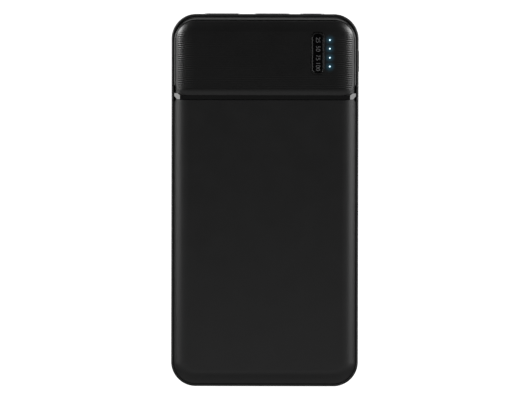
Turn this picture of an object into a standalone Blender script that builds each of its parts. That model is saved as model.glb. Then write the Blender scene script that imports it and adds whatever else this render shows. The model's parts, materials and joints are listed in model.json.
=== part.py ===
"""Slim power bank: a two-part case with an upper control panel, the port board and two stacked pouch cells.

It lies on its back. +X points to the side with the power button, +Y to the end with the ports and +Z out of
the front face. The origin is under the middle of the case, on the surface that the back rests on.
"""

import math

import bmesh
import bpy
from mathutils import Matrix, Vector

MM = 0.001

# Case
CASE_WIDTH = 71.0 * MM
CASE_LENGTH = 141.4 * MM
CASE_HEIGHT = 16.0 * MM
CASE_CORNER = 9.3 * MM
CORNER_STEPS = 7
WALL = 1.6 * MM
FLOOR = 1.6 * MM
BACK_ROUNDING = 4.8 * MM
BACK_STEPS = 4
RIM_TOP = 12.5 * MM
RIM_WIDTH = 0.85 * MM
RIM_ROUNDING = 0.4 * MM
REBATE_Z = 11.2 * MM
REST_GAP = 0.05 * MM
BOSS_RADIUS = 2.4 * MM
PILOT_RADIUS = 0.9 * MM
PILOT_LENGTH = 2.6 * MM
CELL_RIB_SIZE = (58.0 * MM, 1.2 * MM, 3.4 * MM)
CELL_RIB_CENTRE = (0.0, 36.6 * MM, 3.0 * MM)

# Front cover
SHOULDER = 6.5 * MM
SHOULDER_STEPS = 6
COVER_INSET = 1.05 * MM
SKIRT_BOTTOM = 11.3 * MM
SKIRT_WIDTH = 1.2 * MM
LOWER_CEILING = 14.6 * MM
UPPER_CEILING = 13.6 * MM
CEILING_STEP_Y = (36.0 * MM, 37.4 * MM)
HOLLOW_ROUNDING = 3.2 * MM
HOLLOW_END_CORNER = 7.0 * MM
HOLLOW_STEP_CORNER = 3.5 * MM
HOLLOW_BOTTOM = 8.0 * MM
FORM_INSET = COVER_INSET - 0.02 * MM
FORM_BOTTOM = 6.0 * MM
FRONT_CUT_Z = (8.0 * MM, 18.0 * MM)
SEAT_GAP = 0.1 * MM

# Control panel and accent strip
PANEL_HALF_WIDTH = 34.0 * MM
PANEL_Y = (40.2 * MM, 68.5 * MM)
PANEL_LOWER_CORNER = 4.8 * MM
PANEL_UPPER_CORNER = 7.6 * MM
PANEL_THICKNESS = 0.9 * MM
POCKET_GAP = 0.12 * MM
STRIP_Y = (38.42 * MM, 40.0 * MM)
STRIP_DROP = 0.5 * MM
STRIP_THICKNESS = 0.8 * MM
CHANNEL_Y = (38.3 * MM, 41.2 * MM)

# Window, lights and ports. A pill's corners are just under half of its height.
PILL = 0.49
HOLE_HALF_DEPTH = 4.0 * MM
WINDOW_CENTRE = (20.0 * MM, 56.0 * MM)
BEZEL_SIZE = (5.4 * MM, 16.2 * MM)
BEZEL_CORNER = 2.0 * MM
WINDOW_SIZE = (3.7 * MM, 14.8 * MM)
WINDOW_CORNER = 1.5 * MM
WINDOW_DROP = 0.15 * MM
WINDOW_DEPTH = 0.85 * MM
LIGHT_X = 24.54 * MM
LIGHT_Y = tuple(y * MM for y in (61.05, 57.77, 54.37, 51.01))
LIGHT_RADIUS = 0.45 * MM
GUIDE_TOP = CASE_HEIGHT - 0.05 * MM
GUIDE_BAR_Z = 12.4 * MM
GUIDE_FOOT_Z = 6.0 * MM
GUIDE_LEG_RADIUS = 0.75 * MM
PORT_FACE_Y = 70.94 * MM
PORT_Z = 8.0 * MM
USB_A_X = (-16.4 * MM, 2.65 * MM)
USB_A_SIZE = (13.0 * MM, 5.7 * MM)
USB_A_CORNER = 0.7 * MM
USB_A_DEPTH = 13.5 * MM
USB_A_BASE = 2.4 * MM
USB_A_PLATE = (11.1 * MM, 1.84 * MM)
USB_A_PLATE_RAISE = 0.92 * MM
USB_A_PLATE_SETBACK = 1.4 * MM
USB_A_CONTACT_X = tuple(x * MM for x in (-3.5, -1.0, 1.0, 3.5))
USB_C_X = 17.9 * MM
USB_C_Z = 6.85 * MM
USB_C_SIZE = (8.94 * MM, 3.26 * MM)
USB_C_DEPTH = 8.0 * MM
USB_C_BASE = 1.6 * MM
USB_C_PLATE = (6.7 * MM, 0.7 * MM)
USB_C_PLATE_SETBACK = 1.0 * MM
SHEET_STEEL = 0.3 * MM
PORT_CLEARANCE = 0.15 * MM

# Power button and its switch
BUTTON_Y = 52.85 * MM
BUTTON_Z = 8.0 * MM
BUTTON_SIZE = (8.0 * MM, 2.8 * MM)
BUTTON_PROUD = 0.18 * MM
BUTTON_CLEARANCE = 0.15 * MM
BUTTON_ROUNDING = 0.12 * MM
FLANGE_X = (32.9 * MM, 33.7 * MM)
STEM_RADIUS = 1.1 * MM
PLUNGER_REACH_X = 32.15 * MM
SWITCH_FACE_X = 30.6 * MM
SWITCH_SIZE = (3.0 * MM, 6.0 * MM, 4.9 * MM)
PLUNGER_RADIUS = 1.0 * MM

# Board and cells
BOARD_HALF_WIDTH = 30.8 * MM
BOARD_Y = (43.5 * MM, 68.0 * MM)
BOARD_Z = (4.1 * MM, 5.1 * MM)
PART_REST = BOARD_Z[1] + REST_GAP
SCREW_HEAD = (1.8 * MM, 1.1 * MM)
SCREW_SHANK = (0.7 * MM, 2.8 * MM)
SCREW_PLACES = ((-27.4 * MM, 47.2 * MM), (27.4 * MM, 46.6 * MM))
CELL_WIDTH = 62.0 * MM
CELL_Y = (-65.5 * MM, 32.5 * MM)
CELL_THICKNESS = 5.4 * MM
LOWER_CELL_Z = 1.9 * MM
UPPER_CELL_Z = 8.1 * MM
TAB_X = {"positive": -14.0 * MM, "negative": 14.0 * MM}
LEAD_RADIUS = 0.8 * MM
SEAM_EDGE = 0.9 * MM

# Finishes: colour, roughness, metallic
FINISHES = {
    "black_case": ((0.022, 0.022, 0.023), 0.5, 0.0),
    "black_gloss": ((0.006, 0.006, 0.007), 0.08, 0.0),
    "black_rubber": ((0.02, 0.02, 0.02), 0.7, 0.0),
    "clear_plastic": ((0.75, 0.88, 0.95), 0.15, 0.0),
    "port_steel": ((0.62, 0.62, 0.63), 0.28, 1.0),
    "contact_gold": ((0.83, 0.62, 0.28), 0.25, 1.0),
    "tongue_plastic": ((0.03, 0.03, 0.032), 0.45, 0.0),
    "board_green": ((0.02, 0.12, 0.06), 0.4, 0.0),
    "chip_black": ((0.03, 0.03, 0.03), 0.55, 0.0),
    "led_white": ((0.85, 0.9, 0.95), 0.3, 0.0),
    "cell_foil": ((0.55, 0.56, 0.58), 0.35, 1.0),
    "nickel": ((0.66, 0.64, 0.6), 0.35, 1.0),
    "foam": ((0.05, 0.05, 0.05), 0.95, 0.0),
    "adhesive": ((0.8, 0.78, 0.7), 0.6, 0.0),
    "amber_film": ((0.6, 0.3, 0.06), 0.3, 0.0),
    "red_sleeve": ((0.6, 0.02, 0.02), 0.45, 0.0),
    "black_sleeve": ((0.015, 0.015, 0.015), 0.45, 0.0),
    "screw_steel": ((0.5, 0.5, 0.51), 0.35, 1.0),
}


# Helpers


def clear_scene():
    for obj in list(bpy.data.objects):
        bpy.data.objects.remove(obj, do_unlink=True)


def finish(name):
    found = bpy.data.materials.get(name)
    if found:
        return found
    colour, roughness, metallic = FINISHES[name]
    made = bpy.data.materials.new(name)
    made.use_nodes = True
    shader = made.node_tree.nodes["Principled BSDF"]
    shader.inputs["Base Color"].default_value = (*colour, 1.0)
    shader.inputs["Roughness"].default_value = roughness
    shader.inputs["Metallic"].default_value = metallic
    return made


def add_object(name, mesh, look=None, place=(0.0, 0.0, 0.0), parent=None, smooth=False):
    """An object with its own origin at place. Without a look it is a cutter, left out of the part."""
    obj = bpy.data.objects.new(name, mesh)
    bpy.context.scene.collection.objects.link(obj)
    obj.parent = parent
    world = Matrix.Translation(place)
    obj.matrix_local = parent.matrix_world.inverted() @ world if parent else world
    if look:
        mesh.materials.append(finish(look))
    else:
        obj.hide_render = True
        obj.display_type = "WIRE"
    if smooth:
        mesh.shade_smooth()
        mesh.set_sharp_from_angle(angle=math.radians(35.0))
    bpy.context.view_layer.update()
    return obj


def add_empty(name, place=(0.0, 0.0, 0.0), parent=None):
    empty = bpy.data.objects.new(name, None)
    bpy.context.scene.collection.objects.link(empty)
    empty.empty_display_size = 0.005
    empty.parent = parent
    empty.location = Vector(place) - (parent.matrix_world.translation if parent else Vector())
    bpy.context.view_layer.update()
    return empty


def mesh_from(bm, name):
    bmesh.ops.recalc_face_normals(bm, faces=bm.faces)
    mesh = bpy.data.meshes.new(name)
    bm.to_mesh(mesh)
    bm.free()
    return mesh


def outline(half_x, y_low, y_high, low_corner, high_corner, steps=CORNER_STEPS):
    """A rectangle with rounded corners, counter-clockwise from the start of its lower right arc."""
    corners = (
        (half_x - low_corner, y_low + low_corner, low_corner, -90.0),
        (half_x - high_corner, y_high - high_corner, high_corner, 0.0),
        (high_corner - half_x, y_high - high_corner, high_corner, 90.0),
        (low_corner - half_x, y_low + low_corner, low_corner, 180.0),
    )
    points = []
    for centre_x, centre_y, radius, start in corners:
        for step in range(steps + 1):
            angle = math.radians(start + 90.0 * step / steps)
            points.append((centre_x + radius * math.cos(angle), centre_y + radius * math.sin(angle)))
    return points


def case_outline(inset):
    """The case's plan outline, moved inwards all round."""
    half_length = CASE_LENGTH / 2 - inset
    corner = CASE_CORNER - inset
    return outline(CASE_WIDTH / 2 - inset, -half_length, half_length, corner, corner)


def loft(name, rings):
    """A closed solid through rings of (outline, height), capped at the first and last ring."""
    bm = bmesh.new()
    loops = [[bm.verts.new((x, y, height)) for x, y in points] for points, height in rings]
    for lower, upper in zip(loops, loops[1:]):
        for i in range(len(lower)):
            bm.faces.new((lower[i - 1], lower[i], upper[i], upper[i - 1]))
    bm.faces.new(loops[0])
    bm.faces.new(loops[-1])
    return mesh_from(bm, name)


def prism(name, points, z_low, z_high):
    return loft(name, [(points, z_low), (points, z_high)])


def block_mesh(name, size, bevel=0.0, segments=2):
    bm = bmesh.new()
    bmesh.ops.create_cube(bm, size=1.0)
    bmesh.ops.scale(bm, verts=bm.verts, vec=size)
    if bevel:
        bmesh.ops.bevel(
            bm, geom=bm.edges, offset=bevel, segments=segments, affect="EDGES", profile=0.5, material=-1
        )
    return mesh_from(bm, name)


def span_block(name, look, low, high, parent=None, bevel=0.0):
    """A block between two corners, with its origin at its centre."""
    size = [b - a for a, b in zip(low, high)]
    centre = [(a + b) / 2 for a, b in zip(low, high)]
    return add_object(name, block_mesh(name, size, bevel), look, centre, parent)


def rod_mesh(name, radius, length, turn=None, segments=20):
    """A rod centred on its origin, along Z unless it is turned."""
    bm = bmesh.new()
    bmesh.ops.create_cone(
        bm, cap_ends=True, segments=segments, radius1=radius, radius2=radius, depth=length
    )
    if turn:
        bmesh.ops.transform(bm, matrix=turn, verts=bm.verts)
    return mesh_from(bm, name)


def stand_up(axis):
    """Turns an outline drawn flat upright: its depth runs along X (outline in YZ) or along -Y (in XZ)."""
    if axis == "X":
        return Matrix(((0, 0, 1, 0), (1, 0, 0, 0), (0, 1, 0, 0), (0, 0, 0, 1)))
    return Matrix(((1, 0, 0, 0), (0, 0, -1, 0), (0, 1, 0, 0), (0, 0, 0, 1)))


def standing_prism(name, points, depth_low, depth_high, axis):
    mesh = prism(name, points, depth_low, depth_high)
    mesh.transform(stand_up(axis))
    return mesh


def combine(obj, other, operation):
    step = obj.modifiers.new(other.name, "BOOLEAN")
    step.operation = operation
    step.solver = "EXACT"
    step.object = other


def cut(obj, *others):
    for other in others:
        combine(obj, other, "DIFFERENCE")


def unite(obj, *others):
    for other in others:
        combine(obj, other, "UNION")


# The front's rounded shoulder


def shoulder_rings(first_inset, drop):
    """Rings from the shoulder's edge to the flat of the front, all lowered by drop."""
    centre_z = CASE_HEIGHT - SHOULDER - drop
    first_angle = math.acos((SHOULDER - first_inset) / SHOULDER)
    rings = []
    for step in range(SHOULDER_STEPS + 1):
        angle = first_angle + (math.pi / 2 - first_angle) * step / SHOULDER_STEPS
        inset = SHOULDER * (1 - math.cos(angle))
        rings.append((case_outline(inset), centre_z + SHOULDER * math.sin(angle)))
    return rings


def front_form(name, drop):
    """The block under the front's surface, lowered by drop. It shapes the pieces let into the front."""
    base = (case_outline(FORM_INSET), FORM_BOTTOM)
    return loft(name, [base, *shoulder_rings(FORM_INSET, drop)])


# Case


def back_shell(parent):
    rings = []
    for step in range(BACK_STEPS + 1):
        angle = math.pi / 2 * step / BACK_STEPS
        inset = BACK_ROUNDING * (1 - math.sin(angle))
        rings.append((case_outline(inset), BACK_ROUNDING * (1 - math.cos(angle))))
    for step in range(3):
        angle = math.pi / 4 * step
        inset = RIM_ROUNDING * (1 - math.cos(angle))
        rings.append((case_outline(inset), RIM_TOP - RIM_ROUNDING * (1 - math.sin(angle))))
    rings.append((case_outline(RIM_WIDTH), RIM_TOP))
    rings.append((case_outline(RIM_WIDTH), REBATE_Z))
    rings.append((case_outline(WALL), REBATE_Z))
    inner_rounding = BACK_ROUNDING - WALL
    for step in range(BACK_STEPS + 1):
        angle = math.pi / 2 * step / BACK_STEPS
        inset = WALL + inner_rounding * (1 - math.cos(angle))
        rings.append((case_outline(inset), FLOOR + inner_rounding * (1 - math.sin(angle))))
    shell = add_object("back_shell", loft("back_shell", rings), "black_case", parent=parent, smooth=True)

    for side, (x, y) in enumerate(SCREW_PLACES, start=1):
        boss_top = BOARD_Z[0] - REST_GAP
        height = boss_top - 0.75 * FLOOR
        boss = rod_mesh("boss", BOSS_RADIUS, height)
        centre = (x, y, boss_top - height / 2)
        boss = add_object(f"cut_boss_{side}", boss, place=centre, parent=parent)
        pilot = rod_mesh("pilot", PILOT_RADIUS, PILOT_LENGTH)
        cut(boss, add_object(f"cut_pilot_{side}", pilot, place=(x, y, boss_top), parent=parent))
        unite(shell, boss)
    rib = block_mesh("rib", CELL_RIB_SIZE)
    unite(shell, add_object("cut_cell_rib", rib, place=CELL_RIB_CENTRE, parent=parent))

    for number, x in enumerate(USB_A_X, start=1):
        hole = wall_hole(USB_A_SIZE, PORT_CLEARANCE, "Y", USB_A_CORNER + PORT_CLEARANCE)
        place = (x, CASE_LENGTH / 2, PORT_Z)
        cut(shell, add_object(f"cut_usb_a_{number}", hole, place=place, parent=parent))
    place = (USB_C_X, CASE_LENGTH / 2, USB_C_Z)
    hole = wall_hole(USB_C_SIZE, PORT_CLEARANCE, "Y")
    cut(shell, add_object("cut_usb_c", hole, place=place, parent=parent))
    place = (CASE_WIDTH / 2, BUTTON_Y, BUTTON_Z)
    hole = wall_hole(BUTTON_SIZE, BUTTON_CLEARANCE, "X")
    cut(shell, add_object("cut_button", hole, place=place, parent=parent))


def port_outline(width, height, corner):
    return outline(width / 2, -height / 2, height / 2, corner, corner, 4)


def wall_hole(size, clearance, axis, corner=None):
    """A cutter through a side wall, pill-shaped unless it is given a corner radius."""
    width, height = (side + 2 * clearance for side in size)
    points = port_outline(width, height, corner or PILL * height)
    return standing_prism("hole", points, -HOLE_HALF_DEPTH, HOLE_HALF_DEPTH, axis)


def ceiling_cavity(name, y_low, y_high, ceiling):
    """The hollow under the cover between two heights along Y, rounded under the shoulder."""
    half = CASE_WIDTH / 2 - COVER_INSET - SKIRT_WIDTH
    low_corner, high_corner = HOLLOW_END_CORNER, HOLLOW_STEP_CORNER
    if y_low > 0:
        low_corner, high_corner = high_corner, low_corner
    rings = [(outline(half, y_low, y_high, low_corner, high_corner), HOLLOW_BOTTOM)]
    for step in range(4):
        angle = math.pi / 6 * step
        inset = HOLLOW_ROUNDING * (1 - math.cos(angle))
        points = outline(half - inset, y_low + inset, y_high - inset, low_corner - inset, high_corner - inset)
        rings.append((points, ceiling - HOLLOW_ROUNDING * (1 - math.sin(angle))))
    return loft(name, rings)


def pocket_outline(gap):
    low_y, high_y = PANEL_Y
    return outline(
        PANEL_HALF_WIDTH + gap,
        low_y - gap,
        high_y + gap,
        PANEL_LOWER_CORNER + gap,
        PANEL_UPPER_CORNER + gap,
    )


def front_cover(parent):
    rings = [(case_outline(COVER_INSET), SKIRT_BOTTOM), *shoulder_rings(COVER_INSET, 0.0)]
    cover = add_object("front_cover", loft("front_cover", rings), "black_case", parent=parent, smooth=True)
    end = CASE_LENGTH / 2 - COVER_INSET - SKIRT_WIDTH
    step_low, step_high = CEILING_STEP_Y
    lower = ceiling_cavity("lower_hollow", -end, step_low, LOWER_CEILING)
    upper = ceiling_cavity("upper_hollow", step_high, end, UPPER_CEILING)
    cut(cover, add_object("cut_lower_hollow", lower, parent=parent))
    cut(cover, add_object("cut_upper_hollow", upper, parent=parent))

    pocket = add_object("cut_pocket", prism("pocket", pocket_outline(POCKET_GAP), *FRONT_CUT_Z))
    seat = add_object("cut_seat_form", front_form("seat_form", PANEL_THICKNESS + SEAT_GAP))
    cut(pocket, seat)
    cut(cover, pocket)

    low_y, high_y = CHANNEL_Y
    low_z, high_z = FRONT_CUT_Z
    channel = add_object(
        "cut_channel",
        block_mesh("channel", (CASE_WIDTH, high_y - low_y, high_z - low_z)),
        place=(0.0, (low_y + high_y) / 2, (low_z + high_z) / 2),
    )
    drop = STRIP_DROP + STRIP_THICKNESS + SEAT_GAP
    cut(channel, add_object("cut_channel_form", front_form("channel_form", drop)))
    cut(cover, channel)

    for number, y in enumerate(LIGHT_Y, start=1):
        hole = rod_mesh("hole", LIGHT_RADIUS + 0.15 * MM, 6.0 * MM)
        cut(cover, add_object(f"cut_cover_light_{number}", hole, place=(LIGHT_X, y, UPPER_CEILING)))


def control_panel(parent):
    panel = add_object(
        "control_panel",
        prism("control_panel", pocket_outline(0.0), *FRONT_CUT_Z),
        "black_case",
        parent=parent,
        smooth=True,
    )
    combine(panel, add_object("cut_panel_top", front_form("panel_top", 0.0)), "INTERSECT")
    cut(panel, add_object("cut_panel_under", front_form("panel_under", PANEL_THICKNESS)))
    x, y = WINDOW_CENTRE
    width, length = (side + 0.1 * MM for side in BEZEL_SIZE)
    points = port_outline(width, length, BEZEL_CORNER + 0.05 * MM)
    slot = prism("slot", points, -HOLE_HALF_DEPTH, HOLE_HALF_DEPTH)
    cut(panel, add_object("cut_window_slot", slot, place=(x, y, CASE_HEIGHT)))
    for number, light_y in enumerate(LIGHT_Y, start=1):
        hole = rod_mesh("hole", LIGHT_RADIUS + 0.08 * MM, 6.0 * MM)
        cut(panel, add_object(f"cut_panel_light_{number}", hole, place=(LIGHT_X, light_y, CASE_HEIGHT)))


def accent_strip(parent):
    low_y, high_y = STRIP_Y
    low_z, high_z = FRONT_CUT_Z
    length = CASE_WIDTH - 2 * (COVER_INSET + SEAT_GAP)
    size = (length, high_y - low_y, high_z - low_z)
    place = (0.0, (low_y + high_y) / 2, (low_z + high_z) / 2)
    strip = add_object("accent_strip", block_mesh("accent_strip", size), "black_gloss", place, parent)
    top = add_object("cut_strip_top", front_form("strip_top", STRIP_DROP))
    under = add_object("cut_strip_under", front_form("strip_under", STRIP_DROP + STRIP_THICKNESS))
    combine(strip, top, "INTERSECT")
    cut(strip, under)


def window_bezel(parent):
    x, y = WINDOW_CENTRE
    ring = prism("window_bezel", port_outline(*BEZEL_SIZE, BEZEL_CORNER), -WINDOW_DEPTH, 0.0)
    bezel = add_object("window_bezel", ring, "black_case", (x, y, CASE_HEIGHT), parent, smooth=True)
    hole = prism("hole", port_outline(*WINDOW_SIZE, WINDOW_CORNER), -HOLE_HALF_DEPTH, HOLE_HALF_DEPTH)
    cut(bezel, add_object("cut_bezel", hole, place=(x, y, CASE_HEIGHT), parent=parent))


def capacity_window(parent):
    x, y = WINDOW_CENTRE
    gap = 0.06 * MM
    width, length = (side - 2 * gap for side in WINDOW_SIZE)
    points = port_outline(width, length, WINDOW_CORNER - gap)
    plate = prism("capacity_window", points, -WINDOW_DEPTH, -WINDOW_DROP)
    add_object("capacity_window", plate, "black_gloss", (x, y, CASE_HEIGHT), parent, smooth=True)


def light_guide(parent):
    """A comb: one bar under the cover, with a tip up to each hole and a leg down to each LED."""
    mid_y = (LIGHT_Y[0] + LIGHT_Y[-1]) / 2
    bar_length = LIGHT_Y[0] - LIGHT_Y[-1] + 3.0 * MM
    bar = block_mesh("light_guide", (2.4 * MM, bar_length, 1.2 * MM), 0.2 * MM, 1)
    place = (LIGHT_X, mid_y, GUIDE_BAR_Z)
    guide = add_object("light_guide", bar, "clear_plastic", place, parent, smooth=True)
    for number, y in enumerate(LIGHT_Y, start=1):
        tip = rod_mesh("tip", LIGHT_RADIUS, GUIDE_TOP - GUIDE_BAR_Z, segments=16)
        tip_z = (GUIDE_TOP + GUIDE_BAR_Z) / 2
        leg = rod_mesh("leg", GUIDE_LEG_RADIUS, GUIDE_BAR_Z - GUIDE_FOOT_Z, segments=16)
        leg_z = (GUIDE_BAR_Z + GUIDE_FOOT_Z) / 2
        tip_obj = add_object(f"cut_tip_{number}", tip, place=(LIGHT_X, y, tip_z), parent=parent)
        leg_obj = add_object(f"cut_leg_{number}", leg, place=(LIGHT_X, y, leg_z), parent=parent)
        unite(guide, tip_obj, leg_obj)


# Power button and switch


def power_button(parent):
    """The cap in the side wall, with a flange behind the wall and a stem towards the switch."""
    outer_x = CASE_WIDTH / 2 + BUTTON_PROUD
    axis = add_empty("power_button_axis", (outer_x, BUTTON_Y, BUTTON_Z), parent)
    rounding = BUTTON_ROUNDING
    width, height = BUTTON_SIZE
    side = port_outline(width, height, PILL * height)
    face = port_outline(width - 2 * rounding, height - 2 * rounding, PILL * height - rounding)
    rings = [(side, FLANGE_X[0] - outer_x + 0.2 * MM), (side, -rounding), (face, 0.0)]
    cap = loft("power_button", rings)
    cap.transform(stand_up("X"))
    button = add_object("power_button", cap, "black_case", axis.matrix_world.translation, axis, smooth=True)
    flange = standing_prism(
        "flange",
        port_outline(width + 1.6 * MM, height + 1.4 * MM, 1.2 * MM),
        FLANGE_X[0] - outer_x,
        FLANGE_X[1] - outer_x,
        "X",
    )
    stem_root = FLANGE_X[0] + 0.3 * MM
    stem_length = stem_root - PLUNGER_REACH_X - REST_GAP
    stem = rod_mesh("stem", STEM_RADIUS, stem_length, Matrix.Rotation(math.pi / 2, 4, "Y"))
    stem_x = stem_root - stem_length / 2
    place = axis.matrix_world.translation
    unite(button, add_object("cut_flange", flange, place=place, parent=axis))
    unite(button, add_object("cut_stem", stem, place=(stem_x, BUTTON_Y, BUTTON_Z), parent=axis))


def tact_switch(parent):
    depth, width, height = SWITCH_SIZE
    body_low = (SWITCH_FACE_X - depth, BUTTON_Y - width / 2, PART_REST)
    body_high = (SWITCH_FACE_X, BUTTON_Y + width / 2, PART_REST + height)
    body = span_block("tact_switch_body", "chip_black", body_low, body_high, parent)
    along_x = Matrix.Rotation(math.pi / 2, 4, "Y")
    bore = rod_mesh("bore", PLUNGER_RADIUS + 0.3 * MM, 2.4 * MM, along_x)
    place = (SWITCH_FACE_X, BUTTON_Y, BUTTON_Z)
    cut(body, add_object("cut_switch_bore", bore, place=place, parent=parent))
    length = PLUNGER_REACH_X - SWITCH_FACE_X + 0.8 * MM
    axis = add_empty("tact_plunger_axis", (PLUNGER_REACH_X, BUTTON_Y, BUTTON_Z), parent)
    tip_at_origin = along_x @ Matrix.Translation((0, 0, -length / 2))
    rod = rod_mesh("tact_switch_plunger", PLUNGER_RADIUS, length, tip_at_origin)
    add_object("tact_switch_plunger", rod, "black_rubber", axis.matrix_world.translation, axis, smooth=True)


# Board and its parts


def main_board(parent):
    low_y, high_y = BOARD_Y
    points = outline(BOARD_HALF_WIDTH, low_y, high_y, 1.0 * MM, 6.0 * MM)
    board = add_object("main_board", prism("main_board", points, *BOARD_Z), "board_green", parent=parent)
    for number, (x, y) in enumerate(SCREW_PLACES, start=1):
        hole = rod_mesh("hole", 1.1 * MM, 4.0 * MM)
        cut(board, add_object(f"cut_board_{number}", hole, place=(x, y, BOARD_Z[1]), parent=parent))


def board_screw(number, x, y, parent):
    head = rod_mesh(f"board_screw_{number}", *SCREW_HEAD)
    head_top = PART_REST + SCREW_HEAD[1]
    place = (x, y, (PART_REST + head_top) / 2)
    screw = add_object(f"board_screw_{number}", head, "screw_steel", place, parent, smooth=True)
    shank = rod_mesh("shank", *SCREW_SHANK, segments=12)
    unite(screw, add_object(f"cut_shank_{number}", shank, place=(x, y, PART_REST - 0.9 * MM), parent=parent))
    for turn in range(2):
        slot = block_mesh("slot", (1.9 * MM, 0.45 * MM, 0.9 * MM))
        slot.transform(Matrix.Rotation(turn * math.pi / 2, 4, "Z"))
        place = (x, y, head_top)
        cut(screw, add_object(f"cut_slot_{number}_{turn}", slot, place=place, parent=parent))


def port_shell(name, size, corner, depth, place, parent):
    """A tube of sheet steel, open at both ends; the plastic tongue closes its back."""
    width, height = size
    tube = standing_prism(name, port_outline(width, height, corner), 0.0, depth, "Y")
    shell = add_object(name, tube, "port_steel", place, parent, smooth=True)
    inner = port_outline(width - 2 * SHEET_STEEL, height - 2 * SHEET_STEEL, corner - SHEET_STEEL)
    hole = standing_prism("hole", inner, -1.0 * MM, depth + 1.0 * MM, "Y")
    cut(shell, add_object(f"cut_{name}", hole, place=place, parent=parent))


def usb_a_port(number, x, parent):
    """A Type-A socket: steel shell, plastic tongue in its upper half and four spring contacts under it."""
    place = (x, PORT_FACE_Y, PORT_Z)
    port_shell(f"usb_a_shell_{number}", USB_A_SIZE, USB_A_CORNER, USB_A_DEPTH, place, parent)
    back_y = PORT_FACE_Y - USB_A_DEPTH
    width, height = (side - 2 * SHEET_STEEL - 0.1 * MM for side in USB_A_SIZE)
    name = f"usb_a_tongue_{number}"
    low = (x - width / 2, back_y + 0.05 * MM, PORT_Z - height / 2)
    high = (x + width / 2, back_y + USB_A_BASE, PORT_Z + height / 2)
    tongue = span_block(name, "tongue_plastic", low, high, parent, 0.3 * MM)
    tongue_z = PORT_Z + USB_A_PLATE_RAISE
    plate_y = (back_y + USB_A_BASE - 0.4 * MM, PORT_FACE_Y - USB_A_PLATE_SETBACK)
    plate_width, plate_height = USB_A_PLATE
    plate = block_mesh("plate", (plate_width, plate_y[1] - plate_y[0], plate_height), 0.2 * MM, 1)
    place = (x, (plate_y[0] + plate_y[1]) / 2, tongue_z)
    unite(tongue, add_object(f"cut_plate_{number}", plate, place=place, parent=parent))
    contact_z = tongue_z - plate_height / 2 - REST_GAP
    for order, offset in enumerate(USB_A_CONTACT_X, start=1):
        low = (x + offset - 0.5 * MM, back_y + USB_A_BASE + 0.2 * MM, contact_z - 0.2 * MM)
        high = (x + offset + 0.5 * MM, PORT_FACE_Y - 2.4 * MM, contact_z)
        span_block(f"usb_a_contact_{number}_{order}", "contact_gold", low, high, parent)


def usb_c_port(parent):
    """A Type-C socket: a rounded steel shell round a thin middle tongue."""
    corner = PILL * USB_C_SIZE[1]
    place = (USB_C_X, PORT_FACE_Y, USB_C_Z)
    port_shell("usb_c_shell", USB_C_SIZE, corner, USB_C_DEPTH, place, parent)
    back_y = PORT_FACE_Y - USB_C_DEPTH
    width, height = (side - 2 * SHEET_STEEL - 0.1 * MM for side in USB_C_SIZE)
    block = standing_prism("usb_c_tongue", port_outline(width, height, 0.45 * height), 0.0, USB_C_BASE, "Y")
    base_y = back_y + USB_C_BASE + REST_GAP
    place = (USB_C_X, base_y, USB_C_Z)
    tongue = add_object("usb_c_tongue", block, "tongue_plastic", place, parent)
    plate_y = (base_y - 0.45 * MM, PORT_FACE_Y - USB_C_PLATE_SETBACK)
    plate_width, plate_height = USB_C_PLATE
    plate = block_mesh("plate", (plate_width, plate_y[1] - plate_y[0], plate_height), 0.15 * MM, 1)
    place = (USB_C_X, (plate_y[0] + plate_y[1]) / 2, USB_C_Z)
    unite(tongue, add_object("cut_usb_c_plate", plate, place=place, parent=parent))


def board_parts(parent):
    """The power parts and lights between the ports and the cells: name, finish, centre X and Y, size."""
    places = (
        ("power_inductor", "chip_black", (-4.0, 50.0), (7.0, 7.0, 4.0)),
        ("charge_chip", "chip_black", (8.5, 50.5), (5.0, 5.0, 0.9)),
        ("mosfet_1", "chip_black", (-14.5, 51.5), (3.3, 3.3, 0.9)),
        ("mosfet_2", "chip_black", (-20.0, 51.5), (3.3, 3.3, 0.9)),
        ("capacitor_1", "adhesive", (2.6, 51.0), (1.6, 3.2, 1.6)),
        ("capacitor_2", "adhesive", (14.6, 51.0), (1.6, 3.2, 1.6)),
    )
    for name, look, (x, y), (width, length, height) in places:
        low = ((x - width / 2) * MM, (y - length / 2) * MM, PART_REST)
        high = ((x + width / 2) * MM, (y + length / 2) * MM, PART_REST + height * MM)
        span_block(name, look, low, high, parent, 0.15 * MM)
    for number, y in enumerate(LIGHT_Y, start=1):
        low = (LIGHT_X - 0.8 * MM, y - 0.4 * MM, PART_REST)
        high = (LIGHT_X + 0.8 * MM, y + 0.4 * MM, PART_REST + 0.7 * MM)
        span_block(f"status_led_{number}", "led_white", low, high, parent)


# Cells


def pouch_cell(name, z_low, parent):
    low_y, high_y = CELL_Y
    half = CELL_WIDTH / 2
    edge = SEAM_EDGE
    wide = outline(half, low_y, high_y, 3.0 * MM, 3.0 * MM, 3)
    narrow = outline(half - edge, low_y + edge, high_y - edge, 2.4 * MM, 2.4 * MM, 3)
    z_high = z_low + CELL_THICKNESS
    rings = [(narrow, z_low), (wide, z_low + edge), (wide, z_high - edge), (narrow, z_high)]
    add_object(name, loft(name, rings), "cell_foil", parent=parent)


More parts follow.
